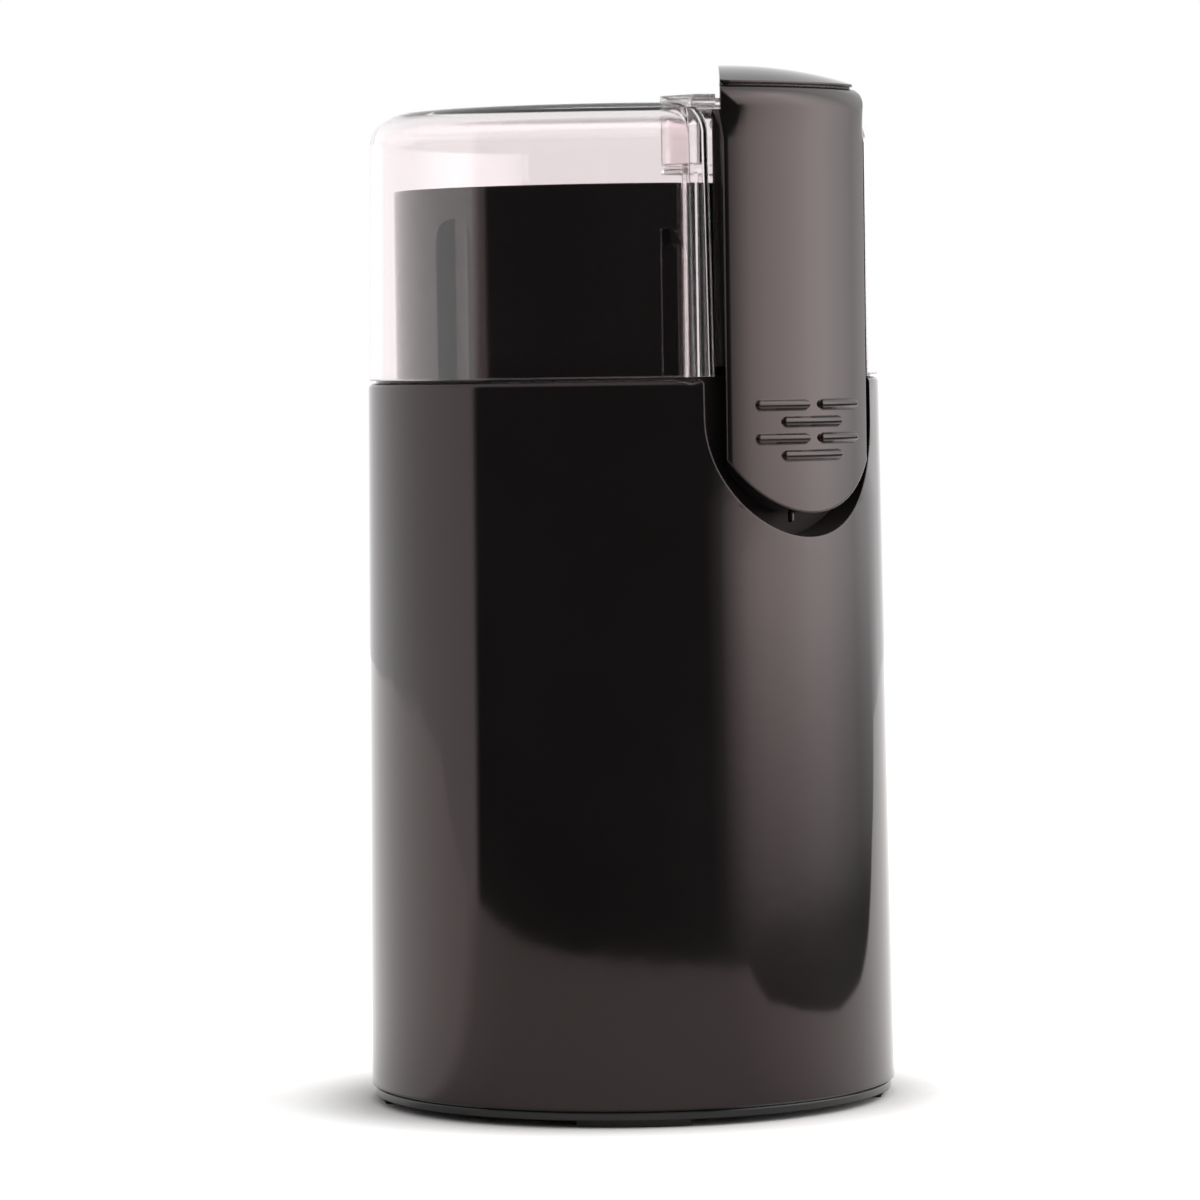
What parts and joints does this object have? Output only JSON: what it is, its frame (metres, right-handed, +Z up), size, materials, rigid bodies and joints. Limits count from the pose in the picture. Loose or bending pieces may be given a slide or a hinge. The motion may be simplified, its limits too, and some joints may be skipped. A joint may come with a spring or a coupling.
{
  "type": "electric spice grinder",
  "caption": "Round upright electric grinder with a steel bowl and blade, a clear lift-off lid and a press lever hinged at the lid's top.",
  "frame": {"origin": "centre of the housing's axis on the plane of the feet's lower faces", "axes": "+Z up the housing's axis, -Y to the front where the press lever is, +X to the right as seen from the front"},
  "size_m": [0.0914, 0.0929, 0.1783],
  "materials": {
    "gloss_black": "glossy black moulded plastic",
    "matte_black": "matt black plastic",
    "foot_rubber": "matt black rubber",
    "clear_lid": "clear glossy plastic",
    "stainless": "brushed stainless steel",
    "blade_steel": "polished stainless steel",
    "steel": "zinc-plated steel",
    "lamination": "stacked electrical steel",
    "copper": "enamelled copper wire",
    "alloy": "die-cast alloy",
    "carbon": "carbon"
  },
  "bodies": {
    "housing": {"body_shell": "gloss_black", "base_plate": "matte_black", "base_screws": "steel", "cord_gland": "foot_rubber", "foot_front_left": "foot_rubber", "foot_front_right": "foot_rubber", "foot_rear_left": "foot_rubber", "foot_rear_right": "foot_rubber", "bowl": "stainless", "shaft_seal": "foot_rubber", "plunger_spring": "steel", "switch_body": "matte_black", "switch_screws": "steel", "stator_core": "lamination", "field_coil_left": "copper", "field_coil_right": "copper", "upper_bracket": "alloy", "upper_bearing": "steel", "lower_bracket": "alloy", "lower_bearing": "steel", "brush_holder_left": "matte_black", "brush_holder_right": "matte_black", "brush_left": "carbon", "brush_right": "carbon", "brush_spring_left": "steel", "brush_spring_right": "steel", "motor_bolts": "steel", "motor_mounts": "foot_rubber", "mount_screws": "steel"},
    "lid": {"lid": "clear_lid", "hinge_pin": "steel"},
    "lever": {"lever": "gloss_black"},
    "plunger": {"plunger": "matte_black"},
    "switch_leaf": {"switch_leaf": "steel"},
    "switch_button": {"switch_button": "matte_black"},
    "rotor": {"rotor_shaft": "steel", "armature_core": "lamination", "armature_windings": "copper", "commutator": "copper", "cooling_fan": "matte_black", "blade_spacer": "steel", "blade": "blade_steel", "blade_nut": "blade_steel"}
  },
  "joints": [
    {"name": "lid_lift", "type": "slide", "parent": "housing", "child": "lid", "axis": [0, 0, 1], "range_m": [0, 0.075]},
    {"name": "lever_press", "type": "hinge", "parent": "lid", "child": "lever", "pos_m": [0, -0.038, 0.1677], "axis": [1, 0, 0], "range_deg": [0, 2], "stiffness_Nm_per_rad": 0.8, "springref_deg": -11.46},
    {"name": "plunger_slide", "type": "slide", "parent": "housing", "child": "plunger", "axis": [0, 1, 0], "range_m": [0, 0.00225], "deforming": ["plunger_spring"]},
    {"name": "switch_leaf_bend", "type": "hinge", "parent": "housing", "child": "switch_leaf", "pos_m": [-0.0094, -0.027, 0.106], "axis": [0, 0, 1], "range_deg": [0, 13.33]},
    {"name": "switch_button_slide", "type": "slide", "parent": "housing", "child": "switch_button", "axis": [0, 1, 0], "range_m": [0, 0.000829]},
    {"name": "rotor_spin", "type": "hinge", "parent": "housing", "child": "rotor", "pos_m": [0, 0, 0.06], "axis": [0, 0, 1], "continuous": true}
  ],
  "couplings": [
    {"joint": "plunger_slide", "follows": "lever_press", "m_per_rad": 0.0617},
    {"joint": "switch_leaf_bend", "follows": "lever_press", "ratio": 6.5638},
    {"joint": "switch_button_slide", "follows": "lever_press", "m_per_rad": 0.022317}
  ]
}
